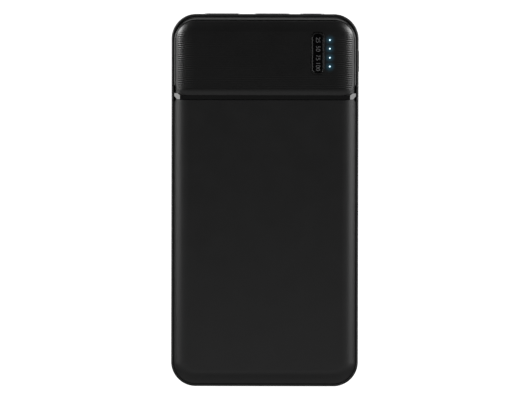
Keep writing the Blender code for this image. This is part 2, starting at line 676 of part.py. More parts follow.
def cell_pack(parent):
    pouch_cell("lower_cell", LOWER_CELL_Z, parent)
    pouch_cell("upper_cell", UPPER_CELL_Z, parent)
    low = (-24 * MM, -56 * MM, LOWER_CELL_Z + CELL_THICKNESS + REST_GAP)
    high = (24 * MM, 24 * MM, UPPER_CELL_Z - REST_GAP)
    span_block("cell_adhesive_pad", "adhesive", low, high, parent)
    low = (-22 * MM, -52 * MM, UPPER_CELL_Z + CELL_THICKNESS + REST_GAP)
    high = (22 * MM, 20 * MM, LOWER_CEILING - REST_GAP)
    span_block("foam_pad", "foam", low, high, parent)
    for cell, z in (("lower_cell", LOWER_CELL_Z), ("upper_cell", UPPER_CELL_Z)):
        for pole, x in TAB_X.items():
            mid_z = z + CELL_THICKNESS / 2
            low = (x - 2.0 * MM, CELL_Y[1] + REST_GAP, mid_z - 0.1 * MM)
            high = (x + 2.0 * MM, CELL_Y[1] + 3.2 * MM, mid_z + 0.1 * MM)
            span_block(f"{cell}_tab_{pole}", "nickel", low, high, parent)
    film_z = UPPER_CELL_Z + CELL_THICKNESS / 2 + 0.15 * MM
    low = (-20 * MM, CELL_Y[1] + 0.1 * MM, film_z)
    high = (20 * MM, CELL_Y[1] + 3.2 * MM, film_z + 0.1 * MM)
    span_block("insulation_sheet", "amber_film", low, high, parent)
    thermistor = rod_mesh("thermistor", 0.9 * MM, 4.0 * MM, Matrix.Rotation(math.pi / 2, 4, "Y"), 12)
    place = (0.0, CELL_Y[1] + 1.6 * MM, UPPER_CELL_Z)
    add_object("thermistor", thermistor, "chip_black", place, parent, smooth=True)


def cell_lead(name, look, x, parent):
    """A short insulated wire from between a pair of tabs over the rib and down onto the board."""
    tab_y = CELL_Y[1] + 1.6 * MM
    mid_z = (LOWER_CELL_Z + UPPER_CELL_Z + CELL_THICKNESS) / 2
    rest_z = PART_REST + LEAD_RADIUS
    route = (
        (x, tab_y, mid_z),
        (x, tab_y + 2.2 * MM, mid_z + 0.2 * MM),
        (x, tab_y + 5.0 * MM, mid_z - 0.2 * MM),
        (x, tab_y + 8.5 * MM, rest_z + 1.0 * MM),
        (x, tab_y + 11.0 * MM, rest_z + 0.1 * MM),
        (x, tab_y + 13.5 * MM, rest_z),
    )
    curve = bpy.data.curves.new(name, "CURVE")
    curve.dimensions = "3D"
    curve.bevel_depth = LEAD_RADIUS
    curve.bevel_resolution = 2
    curve.use_fill_caps = True
    spline = curve.splines.new("POLY")
    spline.points.add(len(route) - 1)
    for point, place in zip(spline.points, route):
        point.co = (*place, 1.0)
    curve.materials.append(finish(look))
    lead = bpy.data.objects.new(name, curve)
    bpy.context.scene.collection.objects.link(lead)
    lead.parent = parent


def build():
    clear_scene()
    case = add_empty("case")
    front = add_empty("front_group", parent=case)
    board = add_empty("board_group", parent=case)
    cells = add_empty("cell_group", parent=case)
    back_shell(case)
    front_cover(front)
    control_panel(front)
    accent_strip(front)
    window_bezel(front)
    capacity_window(front)
    light_guide(front)
    power_button(case)
    main_board(board)
    for number, (x, y) in enumerate(SCREW_PLACES, start=1):
        board_screw(number, x, y, board)
    for number, x in enumerate(USB_A_X, start=1):
        usb_a_port(number, x, board)
    usb_c_port(board)
    tact_switch(board)
    board_parts(board)
    cell_pack(cells)
    cell_lead("red_lead", "red_sleeve", TAB_X["positive"], cells)
    cell_lead("black_lead", "black_sleeve", TAB_X["negative"], cells)


build()
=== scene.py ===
"""Looks of the slim power bank: case halves, ribbed upper panel, gloss strip, pill window and sockets.

+X points to the power button, +Y to the sockets and +Z out of the front face, as in the frame.
"""

import json
import math

import bmesh
import bpy
from mathutils import Matrix, Vector


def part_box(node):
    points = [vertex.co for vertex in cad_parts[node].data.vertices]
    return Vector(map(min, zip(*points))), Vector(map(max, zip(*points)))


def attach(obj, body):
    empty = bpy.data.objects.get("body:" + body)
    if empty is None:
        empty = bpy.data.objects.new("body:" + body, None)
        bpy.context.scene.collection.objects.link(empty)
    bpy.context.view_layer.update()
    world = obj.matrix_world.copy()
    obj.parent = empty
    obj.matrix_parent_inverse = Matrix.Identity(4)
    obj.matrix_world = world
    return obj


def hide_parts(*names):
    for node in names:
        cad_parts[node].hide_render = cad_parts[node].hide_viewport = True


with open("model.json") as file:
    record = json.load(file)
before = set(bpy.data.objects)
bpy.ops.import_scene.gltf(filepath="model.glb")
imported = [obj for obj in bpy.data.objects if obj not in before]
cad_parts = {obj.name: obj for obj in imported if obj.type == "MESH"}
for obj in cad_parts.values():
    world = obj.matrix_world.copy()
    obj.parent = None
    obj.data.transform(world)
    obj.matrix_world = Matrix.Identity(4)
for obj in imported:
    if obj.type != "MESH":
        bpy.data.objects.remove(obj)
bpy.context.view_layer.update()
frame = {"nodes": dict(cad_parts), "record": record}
MM = 0.001

# Sizes read from the frame
SHELL_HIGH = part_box("back_shell")[1]
COVER_LOW, COVER_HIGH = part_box("front_cover")
PANEL_LOW, PANEL_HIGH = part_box("control_panel")
STRIP_LOW, STRIP_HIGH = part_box("accent_strip")
BEZEL_LOW, BEZEL_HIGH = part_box("window_bezel")
WINDOW_LOW, WINDOW_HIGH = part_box("capacity_window")
BUTTON_LOW, BUTTON_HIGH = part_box("power_button")
HALF_WIDTH = SHELL_HIGH[0]
HALF_LENGTH = SHELL_HIGH[1]
TOP = COVER_HIGH[2]
RIM_TOP = SHELL_HIGH[2]

# Shapes of the case
CASE_CORNER = 9.3 * MM
SHOULDER = 6.5 * MM
BACK_ROUNDING = 4.8 * MM
WALL = 1.6 * MM
FLOOR = 1.6 * MM
RIM_WIDTH = 0.85 * MM
RIM_ROUNDING = 0.66 * MM
REBATE_Z = 11.2 * MM
COVER_INSET = 1.05 * MM
SKIRT_WIDTH = 1.2 * MM
LOWER_CEILING = 14.6 * MM
UPPER_CEILING = 13.6 * MM
CEILING_STEP_Y = (36.0 * MM, 37.4 * MM)
EDGE_ROUNDING = 0.34 * MM
RIM_BAND = 2.3 * MM
HOLE_DEPTH = 4 * MM
CORNER_SEGMENTS = 24
ROLL_SEGMENTS = 14

# The panel's pocket, the strip's channel and the plain field's corners beside it. The pocket reaches
# past the panel, out to the lid's sides and nearly to its port end
POCKET_GAP = 1.05 * MM
POCKET_DROP = 1.0 * MM
CHANNEL_Y = (38.05 * MM, 41.2 * MM)
CHANNEL_DEPTH = 1.5 * MM
BRIM = 0.15 * MM
PAD_CORNER = 1.3 * MM

# Ribs of the upper panel, which are strong near its sides only and fade towards its port end
RIB_PITCH = 0.83 * MM
RIB_HEIGHT = 0.13 * MM
RIB_SAMPLES = 6
RIB_FADE_X = (27.0 * MM, 31.0 * MM)
RIB_FADE_Y = (61.5 * MM, 65.0 * MM)
RIB_IN_MIDDLE = 0.092

# Outline and edges of the upper panel
PANEL_CORNERS = (4.8 * MM, 7.6 * MM)
PANEL_THICKNESS = 0.95 * MM
PLAIN_EDGE = 0.7 * MM
PLAIN_FADE = 0.35 * MM
LOWER_BEVEL = 2.6 * MM
LOWER_BEVEL_DROP = 0.42 * MM
PANEL_ROUNDING = 0.1 * MM
PANEL_LOW_Y = PANEL_LOW[1] - 0.22 * MM
PANEL_HIGH_Y = PANEL_HIGH[1] - 0.22 * MM
PANEL_HALF_WIDTH = PANEL_HIGH[0] - 0.05 * MM

# The bevelled lip round the panel, which stands in the pocket. Its top leans outwards, at first by the
# larger and further in by the smaller of two tilts in degrees, and more steeply towards the port end
LIP_OUTSIDE = (HALF_WIDTH - COVER_INSET + 0.03 * MM, HALF_LENGTH - COVER_INSET - 0.25 * MM)
LIP_WIDTH = (0.36 * MM, 0.68 * MM)
LIP_CORNER = 8.6 * MM
LIP_Z = (TOP - 4.2 * MM, TOP - 2.86 * MM)
LIP_LEAN = (47.0, 37.0)
LIP_EDGE = 0.06 * MM
LIP_CROWN = 6 * MM
LIP_END_Y = 43.9 * MM
LIP_STEEPENS_Y = (62.0 * MM, 68.5 * MM)
LIP_STEEPENS_BY = 0.6

# Edges of the channel and the strip, as (distance from the middle, place along Y) in millimetres
GROOVE_HIGH = ((30.0, 41.2), (31.5, 42.6), (34.0, 43.5), (34.5, 44.3))
STRIP_LOW_EDGE = ((33.4, 38.42), (34.5, 39.7))
STRIP_HIGH_EDGE = ((32.2, 40.0), (33.3, 40.8), (34.5, 40.8))
STRIP_CREASE = 32.3 * MM
STRIP_MIDDLE_Z = 15.0 * MM
STRIP_SLOPE = 0.92
STRIP_THICKNESS = 0.6 * MM

# Lights, window, button and sockets
LIGHT_X = 24.54 * MM
LIGHT_Y = tuple(y * MM for y in (61.05, 57.77, 54.37, 51.01))
LIGHT_HOLE = 0.31 * MM
LIGHT_HOLE_IN_LID = 0.6 * MM
LIGHT_HOLE_FOOT = 12 * MM
LIGHT_TIP = 0.28 * MM
LIGHT_LEG = 0.75 * MM
LIGHT_BAR_Z = (11.8 * MM, 13.0 * MM)
WINDOW_GAP = 0.06 * MM
SLOT_CORNER = 2.05 * MM
RING_CORNER = 2.0 * MM
RING_HOLE_CORNER = 1.5 * MM
LENS_CORNER = 1.44 * MM
LENS_EDGE = 0.1 * MM
NUMERAL_SIZE = 2.35 * MM
NUMERAL_THINNING = 0.03 * MM
INK_THICKNESS = 0.015 * MM
FLANGE_X = (32.9 * MM, 33.7 * MM)
USB_A_X = (-16.4 * MM, 2.65 * MM)
USB_C_X = 17.9 * MM
USB_A_CORNER = 0.7 * MM
USB_C_CORNER = 1.58 * MM
PORT_CLEARANCE = 0.15 * MM
SHEET_STEEL = 0.3 * MM


# Mesh helpers


def box_bm(low, high):
    bm = bmesh.new()
    bmesh.ops.create_cube(bm, size=1.0)
    size = [b - a for a, b in zip(low, high)]
    centre = [(a + b) / 2 for a, b in zip(low, high)]
    bmesh.ops.scale(bm, vec=size, verts=bm.verts)
    bmesh.ops.translate(bm, vec=centre, verts=bm.verts)
    return bm


def upright_edges(bm, keep):
    """The edges along Z whose middle passes the test."""
    found = []
    for edge in bm.edges:
        a, b = (v.co for v in edge.verts)
        if abs(a.z - b.z) > abs(a.x - b.x) + abs(a.y - b.y) and keep((a + b) / 2):
            found.append(edge)
    return found


def plate(half_x, y_low, y_high, low_corner, high_corner, z_low, z_high, segments=CORNER_SEGMENTS):
    """A flat block with rounded upright edges, which may have another radius at each end along Y."""
    bm = box_bm((-half_x, y_low, z_low), (half_x, y_high, z_high))
    middle = (y_low + y_high) / 2
    ends = ((low_corner, lambda p: p.y < middle), (high_corner, lambda p: p.y > middle))
    for corner, keep in ends:
        edges = upright_edges(bm, lambda p, keep=keep: keep(p) and abs(abs(p.x) - half_x) < 1e-7)
        bmesh.ops.bevel(
            bm, geom=edges, offset=corner, segments=segments, profile=0.5, affect="EDGES", material=-1
        )
    return bm


def case_plate(inset, z_low, z_high):
    corner = CASE_CORNER - inset
    half_length = HALF_LENGTH - inset
    return plate(HALF_WIDTH - inset, -half_length, half_length, corner, corner, z_low, z_high)


def facing(bm, direction):
    """The face that looks most nearly along the direction and lies furthest that way."""
    bm.normal_update()
    looking = Vector(direction)
    level = [f for f in bm.faces if f.normal.dot(looking) > 0.999]
    return max(level, key=lambda f: (round(f.calc_center_median().dot(looking), 6), f.calc_area()))


def step_in(bm, face, thickness, depth):
    """Insets one face by a thickness and moves it along its normal by a depth."""
    bmesh.ops.inset_individual(bm, faces=[face], thickness=thickness, depth=depth, use_even_offset=True)


def roll_in(bm, face, radius, first, last, segments=ROLL_SEGMENTS, inwards=False):
    """Carries a face round an arc, from one tilt to another, in degrees from the face's own normal."""
    sign = -1 if inwards else 1
    tilts = [math.radians(first + (last - first) * i / segments) for i in range(segments + 1)]
    for a, b in zip(tilts, tilts[1:]):
        thickness = radius * abs(math.sin(a) - math.sin(b))
        step_in(bm, face, thickness, sign * radius * abs(math.cos(b) - math.cos(a)))


def slice_along(bm, axis, places):
    """Cuts the whole mesh at each place along one axis."""
    normal = Vector((axis == 0, axis == 1, axis == 2))
    for place in places:
        geom = bm.verts[:] + bm.edges[:] + bm.faces[:]
        bmesh.ops.bisect_plane(bm, geom=geom, dist=1e-8, plane_co=normal * place, plane_no=normal)


def turn(bm, angle, axis, centre=(0, 0, 0)):
    rotation = Matrix.Rotation(math.radians(angle), 3, axis)
    bmesh.ops.rotate(bm, verts=bm.verts, cent=centre, matrix=rotation)


def piece(name, bm, *materials, body="casing", smooth=35.0):
    """A finished mesh as an object at the origin, riding on a body."""
    bmesh.ops.recalc_face_normals(bm, faces=bm.faces)
    mesh = bpy.data.meshes.new(name)
    bm.to_mesh(mesh)
    bm.free()
    for material in materials:
        mesh.materials.append(material)
    mesh.shade_smooth()
    mesh.set_sharp_from_angle(angle=math.radians(smooth))
    obj = bpy.data.objects.new(name, mesh)
    bpy.context.scene.collection.objects.link(obj)
    if body:
        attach(obj, body)
    return obj


def cutter(name, bm):
    return piece(name, bm, body=None)


def carve(obj, *cutters, smooth=35.0, operation="DIFFERENCE"):
    """Cuts the shapes out of the object and drops them. The result replaces the object's mesh."""
    for tool in cutters:
        step = obj.modifiers.new(tool.name, "BOOLEAN")
        step.operation = operation
        step.solver = "EXACT"
        step.object = tool
    graph = bpy.context.evaluated_depsgraph_get()
    made = bpy.data.meshes.new_from_object(obj.evaluated_get(graph))
    obj.modifiers.clear()
    old = obj.data
    made.name = obj.name
    obj.data = made
    bpy.data.meshes.remove(old)
    for tool in cutters:
        bpy.data.objects.remove(tool, do_unlink=True)
    tidy_mesh(obj, smooth)


def tidy_mesh(obj, smooth):
    bm = bmesh.new()
    bm.from_mesh(obj.data)
    bmesh.ops.remove_doubles(bm, verts=bm.verts, dist=2e-7)
    bmesh.ops.dissolve_degenerate(bm, dist=1e-7, edges=bm.edges)
    bm.to_mesh(obj.data)
    bm.free()
    obj.data.shade_smooth()
    obj.data.set_sharp_from_angle(angle=math.radians(smooth))


def soften(obj, width, segments=2, angle=35.0):
    """A fine live bevel along the sharp edges."""
    step = obj.modifiers.new("edge", "BEVEL")
    step.width = width
    step.segments = segments
    step.limit_method = "ANGLE"
    step.angle_limit = math.radians(angle)
    step.harden_normals = True
    step.use_clamp_overlap = True


# The front's surface


def edge_distance(x, y):
    """How far a point lies inside the case's plan outline."""
    across = abs(x) - (HALF_WIDTH - CASE_CORNER)
    along = abs(y) - (HALF_LENGTH - CASE_CORNER)
    outside = math.hypot(max(across, 0.0), max(along, 0.0))
    return CASE_CORNER - outside - min(max(across, along), 0.0)


def front_height(x, y):
    """The height of the case's front, which rolls down over the shoulder towards its outline."""
    reach = max(0.0, SHOULDER - edge_distance(x, y))
    reach = min(reach, SHOULDER)
    return TOP - SHOULDER + math.sqrt(SHOULDER * SHOULDER - reach * reach)


def shoulder_cuts(count=12, first_inset=COVER_INSET):
    """Places across the shoulder, at even steps of tilt, on both sides of the middle."""
    places = []
    steep = math.asin((SHOULDER - first_inset) / SHOULDER)
    for step in range(count + 1):
        inset = SHOULDER * (1 - math.sin(steep * step / count))
        places += [HALF_WIDTH - inset, inset - HALF_WIDTH]
    return places


def drape(bm, low, high):
    """Gives a flat plate's two sides the heights low(x, y) and high(x, y)."""
    middle = sum(v.co.z for v in bm.verts) / len(bm.verts)
    for v in bm.verts:
        v.co.z = (high if v.co.z > middle else low)(v.co.x, v.co.y)
    return bm


def lowered(drop):
    return lambda x, y: front_height(x, y) - drop


def let_in(bm):
    """Bends a flat cutter, drawn with the front at zero height, to the case's front."""
    for v in bm.verts:
        v.co.z = TOP + 2 * MM if v.co.z > MM else front_height(v.co.x, v.co.y) + v.co.z
    return bm


def ramp_up(value, start, end):
    """0 below the start, 1 above the end and even in between."""
    return min(1.0, max(0.0, (value - start) / (end - start)))


def along(stations, x):
    """Reads a side's place along Y, in metres, from its stations in millimetres."""
    reach = abs(x) / MM
    if reach <= stations[0][0]:
        return stations[0][1] * MM
    for (a, low), (b, high) in zip(stations, stations[1:]):
        if reach <= b:
            return (low + (high - low) * (reach - a) / (b - a)) * MM
    return stations[-1][1] * MM


# Materials

BLACK = (0.0045, 0.0045, 0.0046)
CASE_BLACK = (0.0118, 0.0118, 0.012)


class Look:
    """A Principled material being built, with short ways to add the nodes that its surface needs."""

    def __init__(self, name, roughness, metallic=0.0, **constants):
        self.material = bpy.data.materials.new(name)
        self.material.use_nodes = True
        self.tree = self.material.node_tree
        self.shader = self.tree.nodes["Principled BSDF"]
        self.set(Roughness=roughness, Metallic=metallic)
        for socket, value in constants.items():
            self.shader.inputs[socket.replace("_", " ")].default_value = value
        self.where = self.add("ShaderNodeTexCoord").outputs["Object"]
        self.height = None

    def set(self, **values):
        for socket, value in values.items():
            self.shader.inputs[socket.replace("_", " ")].default_value = value

    def add(self, kind, **settings):
        node = self.tree.nodes.new(kind)
        for name, value in settings.items():
            setattr(node, name, value)
        return node

    def link(self, out, into):
        self.tree.links.new(out, into)

    def noise(self, size, detail=3.0, roughness=0.55, stretch=None):
        """Noise whose features are about the given size in metres."""
        node = self.add("ShaderNodeTexNoise")
        node.inputs["Scale"].default_value = 1.0 / size
        node.inputs["Detail"].default_value = detail
        node.inputs["Roughness"].default_value = roughness
        self.link(self.stretched(stretch), node.inputs["Vector"])
        return node.outputs["Fac"]

    def cells(self, size):
        node = self.add("ShaderNodeTexVoronoi")
        node.inputs["Scale"].default_value = 1.0 / size
        self.link(self.where, node.inputs["Vector"])
        return node.outputs["Distance"]

    def stretched(self, stretch):
        if not stretch:
            return self.where
        mapping = self.add("ShaderNodeMapping")
        mapping.inputs["Scale"].default_value = stretch
        self.link(self.where, mapping.inputs["Vector"])
        return mapping.outputs["Vector"]

    def ramp(self, fac, low, high, start=0.3, end=0.7):
        """Maps a factor to a range of numbers or, between two colours, to a colour."""
        if isinstance(low, tuple):
            node = self.add("ShaderNodeValToRGB")
            for stop, place, colour in zip(node.color_ramp.elements, (start, end), (low, high)):
                stop.position = place
                stop.color = (*colour, 1.0)
            self.link(fac, node.inputs["Fac"])
            return node.outputs["Color"]
        node = self.add("ShaderNodeMapRange")
        node.inputs["From Min"].default_value = start
        node.inputs["From Max"].default_value = end
        node.inputs["To Min"].default_value = low
        node.inputs["To Max"].default_value = high
        self.link(fac, node.inputs["Value"])
        return node.outputs["Result"]

    def math(self, operation, a, b=None):
        node = self.add("ShaderNodeMath", operation=operation)
        for socket, value in zip(node.inputs, (a, b)):
            if value is None:
                continue
            if isinstance(value, (int, float)):
                socket.default_value = value
            else:
                self.link(value, socket)
        return node.outputs[0]

    def colour(self, out):
        self.link(out, self.shader.inputs["Base Color"])
        return self

    def rough(self, out):
        self.link(out, self.shader.inputs["Roughness"])
        return self

    def bump(self, out, depth, strength=1.0):
        """Adds a bump whose full height is depth metres."""
        node = self.add("ShaderNodeBump")
        node.inputs["Distance"].default_value = depth
        node.inputs["Strength"].default_value = strength
        self.link(out, node.inputs["Height"])
        if self.height:
            self.link(self.height, node.inputs["Normal"])
        self.height = node.outputs["Normal"]
        self.link(self.height, self.shader.inputs["Normal"])
        return self


def scaled(colour, factor):
    return tuple(c * factor for c in colour)


def moulded_plastic(name, colour, roughness, grain=0.28 * MM, depth=0.012 * MM, **constants):
    """Moulded plastic with an eroded grain, slight cloudiness and a little gloss on its peaks."""
    look = Look(name, roughness, **constants)
    clouds = look.noise(9 * MM, 2.0)
    fine = look.noise(grain, 2.0)
    look.colour(look.ramp(clouds, scaled(colour, 0.92), scaled(colour, 1.1)))
    mixed = look.math("ADD", look.math("MULTIPLY", clouds, 0.2), look.math("MULTIPLY", fine, 0.8))
    look.rough(look.ramp(mixed, roughness - 0.06, roughness + 0.06))
    look.bump(fine, depth)
    look.bump(look.cells(grain * 1.6), depth * 0.5)
    return look


def polished(name, colour, roughness=0.06, **constants):
    """Polished plastic: nearly a mirror, with faint haze, hairlines and a very slight ripple."""
    look = Look(name, roughness, **constants)
    haze = look.noise(6 * MM, 4.0)
    hairs = look.noise(0.5 * MM, 1.0, stretch=(0.05, 1.0, 1.0))
    look.colour(look.ramp(haze, scaled(colour, 0.85), scaled(colour, 1.15)))
    look.rough(look.ramp(look.math("MULTIPLY", haze, hairs), roughness * 0.7, roughness * 1.8, 0.1, 0.5))
    look.bump(look.noise(5 * MM, 1.0), 0.002 * MM)
    return look


def metal(name, colour, roughness, stretch=(1.0, 1.0, 12.0), size=0.4 * MM):
    """Sheet metal with drawn lines, tonal clouds and slight unevenness."""
    look = Look(name, roughness, 1.0)
    lines = look.noise(size, 3.0, stretch=stretch)
    clouds = look.noise(3 * MM, 3.0)
    look.colour(look.ramp(clouds, scaled(colour, 0.85), scaled(colour, 1.08)))
    look.rough(look.ramp(lines, roughness * 0.75, roughness * 1.35))
    look.bump(lines, 0.004 * MM)
    return look


def soft_stuff(name, colour, roughness, pore, depth):
    """Foam, adhesive, sleeving or film: soft tonal changes with pores of the given size."""
    look = Look(name, roughness)
    pores = look.cells(pore)
    look.colour(look.ramp(look.noise(4 * MM, 3.0), scaled(colour, 0.8), scaled(colour, 1.15)))
    look.rough(look.ramp(pores, roughness - 0.08, min(1.0, roughness + 0.08), 0.0, 0.6))
    look.bump(pores, depth)
    return look


def circuit_laminate():
    """Green solder mask with slightly raised tracks under it."""
    look = Look("circuit_laminate", 0.35)
    brick = look.add("ShaderNodeTexBrick")
    brick.inputs["Scale"].default_value = 1.0 / (9 * MM)
    brick.inputs["Mortar Size"].default_value = 0.03
    look.link(look.where, brick.inputs["Vector"])
    tracks = brick.outputs["Fac"]
    look.colour(look.ramp(tracks, (0.01, 0.09, 0.04), (0.03, 0.2, 0.09), 0.0, 1.0))
    look.rough(look.ramp(look.noise(2 * MM), 0.28, 0.42))
    look.bump(tracks, 0.03 * MM)
    return look


def near_lights(look, reach):
    """1 at a lit dot, falling to 0 at the given distance from it."""
    nearest = None
    for y in LIGHT_Y:
        node = look.add("ShaderNodeVectorMath", operation="DISTANCE")
        look.link(look.where, node.inputs[0])
        node.inputs[1].default_value = (LIGHT_X, y, TOP)
        away = node.outputs["Value"]
        nearest = away if nearest is None else look.math("MINIMUM", nearest, away)
    return look.ramp(nearest, 1.0, 0.0, 0.0, reach)


def panel_plastic():
    """The panel's plastic, with a painted glow round the lit dots for light that leaks through it."""
    look = moulded_plastic("panel_plastic", BLACK, 0.33, 0.16 * MM, 0.006 * MM, IOR=1.6)
    # Painted glow: the plastic itself emits a faint teal light that fades out within 2.6 mm of each dot
    painted_glow = look.math("POWER", near_lights(look, 2.6 * MM), 2.2)
    look.shader.inputs["Emission Color"].default_value = (0.1, 0.5, 0.75, 1.0)
    look.link(look.math("MULTIPLY", painted_glow, 0.13), look.shader.inputs["Emission Strength"])
    return look


def lit_guide():
    """Clear plastic that glows blue-white at its tips and faintly in its bar and legs."""
    look = Look("lit_guide", 0.15, Transmission_Weight=0.4, IOR=1.49)
    look.colour(look.ramp(look.noise(1.5 * MM), (0.7, 0.85, 0.95), (0.85, 0.95, 1.0)))
    parts = look.add("ShaderNodeSeparateXYZ")
    look.link(look.where, parts.inputs[0])
    look.shader.inputs["Emission Color"].default_value = (0.66, 0.88, 1.0, 1.0)
    tip = look.ramp(parts.outputs["Z"], 0.2, 1.6, 15.0 * MM, 15.8 * MM)
    look.link(tip, look.shader.inputs["Emission Strength"])
    return look


def make_looks():
    """One material for each of the record's slots, and those for details of the new pieces."""
    looks = {
        "case_plastic": moulded_plastic("case_plastic", CASE_BLACK, 0.42, IOR=1.58),
        "rim_plastic": moulded_plastic("rim_plastic", BLACK, 0.26, depth=0.004 * MM, IOR=1.58),
        "panel_plastic": panel_plastic(),
        "gloss_strip": polished("gloss_strip", (0.001, 0.001, 0.0012), 0.07, IOR=1.95),
        "window_gloss": polished("window_gloss", (0.0008, 0.0008, 0.001), 0.05, IOR=1.32),
        "light_guide": lit_guide(),
        "port_steel": metal("port_steel", (0.6, 0.6, 0.61), 0.25),
        "port_tongue": moulded_plastic("port_tongue", (0.02, 0.02, 0.021), 0.4, 0.2 * MM),
        "contact_gold": metal("contact_gold", (0.85, 0.6, 0.24), 0.22, (12.0, 1.0, 1.0)),
        "board_laminate": circuit_laminate(),
        "chip_plastic": moulded_plastic("chip_plastic", (0.03, 0.03, 0.031), 0.55, 0.12 * MM),
        "ceramic": moulded_plastic("ceramic", (0.68, 0.62, 0.52), 0.45, 0.15 * MM),
        "switch_rubber": moulded_plastic("switch_rubber", (0.02, 0.02, 0.02), 0.5, 0.15 * MM),
        "screw_steel": metal("screw_steel", (0.5, 0.5, 0.52), 0.3, (1.0, 1.0, 1.0)),
        "cell_foil": metal("cell_foil", (0.6, 0.61, 0.63), 0.32, (1.0, 1.0, 1.0), 3 * MM),
        "tab_nickel": metal("tab_nickel", (0.68, 0.65, 0.6), 0.3, (12.0, 1.0, 1.0)),
        "foam": soft_stuff("foam", (0.05, 0.05, 0.05), 0.9, 0.5 * MM, 0.15 * MM),
        "adhesive": soft_stuff("adhesive", (0.75, 0.72, 0.62), 0.55, 1.5 * MM, 0.03 * MM),
        "amber_film": soft_stuff("amber_film", (0.5, 0.24, 0.05), 0.25, 2.5 * MM, 0.01 * MM),
        "red_sleeve": soft_stuff("red_sleeve", (0.5, 0.015, 0.015), 0.42, 0.6 * MM, 0.01 * MM),
        "black_sleeve": soft_stuff("black_sleeve", (0.015, 0.015, 0.015), 0.42, 0.6 * MM, 0.01 * MM),
        "pale_ink": moulded_plastic("pale_ink", (0.21, 0.21, 0.215), 0.5, 0.2 * MM, 0.001 * MM),
    }
    return {name: look.material for name, look in looks.items()}


# Case


def port_hole(name, centre_x, centre_z, width, height, corner):
    """A cutter through the end wall, flared where it meets the outside."""
    flare = 0.22 * MM
    mouth = 0.15 * MM
    bm = plate(
        width / 2 + flare, -height / 2 - flare, height / 2 + flare,
        corner + flare, corner + flare, -mouth, HOLE_DEPTH, 8,
    )
    inner = facing(bm, (0, 0, -1))
    step_in(bm, inner, flare, flare)
    step_in(bm, inner, 0.0, HOLE_DEPTH)
    turn(bm, -90.0, "X")
    bmesh.ops.translate(bm, verts=bm.verts, vec=(centre_x, HALF_LENGTH, centre_z))
    return cutter(name, bm)


def shell_holes():
    holes = []
    for number, x in enumerate(USB_A_X, start=1):
        low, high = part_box(f"usb_a_shell_{number}")
        width, height = (high[i] - low[i] + 2 * PORT_CLEARANCE for i in (0, 2))
        holes.append(port_hole(f"hole_a_{number}", x, (low[2] + high[2]) / 2, width, height, 0.85 * MM))
    low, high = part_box("usb_c_shell")
    width, height = (high[i] - low[i] + 2 * PORT_CLEARANCE for i in (0, 2))
    holes.append(port_hole("hole_c", USB_C_X, (low[2] + high[2]) / 2, width, height, 0.49 * height))
    return holes


def button_hole():
    """The pill-shaped hole in the side wall, with a narrow flare."""
    half_length = 4.15 * MM
    half_height = 1.55 * MM
    flare = 0.15 * MM
    bm = plate(
        half_length + flare, -half_height - flare, half_height + flare,
        half_height + flare * 0.9, half_height + flare * 0.9, -flare, HOLE_DEPTH, 12,
    )
    inner = facing(bm, (0, 0, -1))
    step_in(bm, inner, flare, flare)
    step_in(bm, inner, 0.0, HOLE_DEPTH)
    turn(bm, 90.0, "X")
    turn(bm, 90.0, "Z")
    y = (BUTTON_LOW[1] + BUTTON_HIGH[1]) / 2
    z = (BUTTON_LOW[2] + BUTTON_HIGH[2]) / 2
    bmesh.ops.translate(bm, verts=bm.verts, vec=(HALF_WIDTH, y, z))
    return cutter("hole_button", bm)


def back_shell(looks):
    """The deep half: rolled back edges, a narrow rounded rim, the rebate for the cover and the hollow."""
    bm = case_plate(0.0, BACK_ROUNDING, RIM_TOP - RIM_ROUNDING)
    roll_in(bm, facing(bm, (0, 0, -1)), BACK_ROUNDING, 90.0, 0.0)
    top = facing(bm, (0, 0, 1))
    roll_in(bm, top, RIM_ROUNDING, 90.0, 0.0, 5)
    step_in(bm, top, RIM_WIDTH - RIM_ROUNDING, 0.0)
    step_in(bm, top, 0.0, REBATE_Z - RIM_TOP)
    step_in(bm, top, WALL - RIM_WIDTH, 0.0)
    step_in(bm, top, 0.0, BACK_ROUNDING - REBATE_Z)
    roll_in(bm, top, BACK_ROUNDING - FLOOR, 90.0, 0.0, 8, inwards=True)
    shell = piece("back_shell_moulding", bm, looks["case_plastic"])
    carve(shell, *shell_holes(), button_hole())
    soften(shell, 0.05 * MM)
    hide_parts("back_shell")
    return shell


def cover_hollow(name, y_low, y_high, low_corner, high_corner, ceiling):
    """A cutter for the lid's inside, open downwards, with a rounded ceiling."""
    radius = 3.2 * MM
    foot = 8 * MM
    half = HALF_WIDTH - COVER_INSET - SKIRT_WIDTH
    bm = plate(half, y_low, y_high, low_corner, high_corner, foot, ceiling - radius, 10)
    roll_in(bm, facing(bm, (0, 0, 1)), radius, 90.0, 0.0, 8)
    return cutter(name, bm)


def panel_plate(gap, z_low, z_high):
    low_corner, high_corner = (corner + gap for corner in PANEL_CORNERS)
    y_low, y_high = PANEL_LOW_Y - gap, PANEL_HIGH_Y + gap
    return plate(PANEL_HALF_WIDTH + gap, y_low, y_high, low_corner, high_corner, z_low, z_high)


def round_brim(bm, depth):
    """Draws a cutter's foot in and down, so that the edge that it leaves is a rounded brim."""
    foot = facing(bm, (0, 0, -1))
    roll_in(bm, foot, BRIM, 0.0, 90.0, 5)
    step_in(bm, foot, 0.0, depth - BRIM)


def pocket_cutter():
    bm = panel_plate(POCKET_GAP + BRIM, 0.0, 3 * MM)
    round_brim(bm, POCKET_DROP)
    slice_along(bm, 0, shoulder_cuts())
    end_insets = (2.6 * MM, 3.4 * MM, 4.6 * MM, SHOULDER)
    slice_along(bm, 1, [HALF_LENGTH - inset for inset in end_insets])
    return cutter("pocket", let_in(bm))


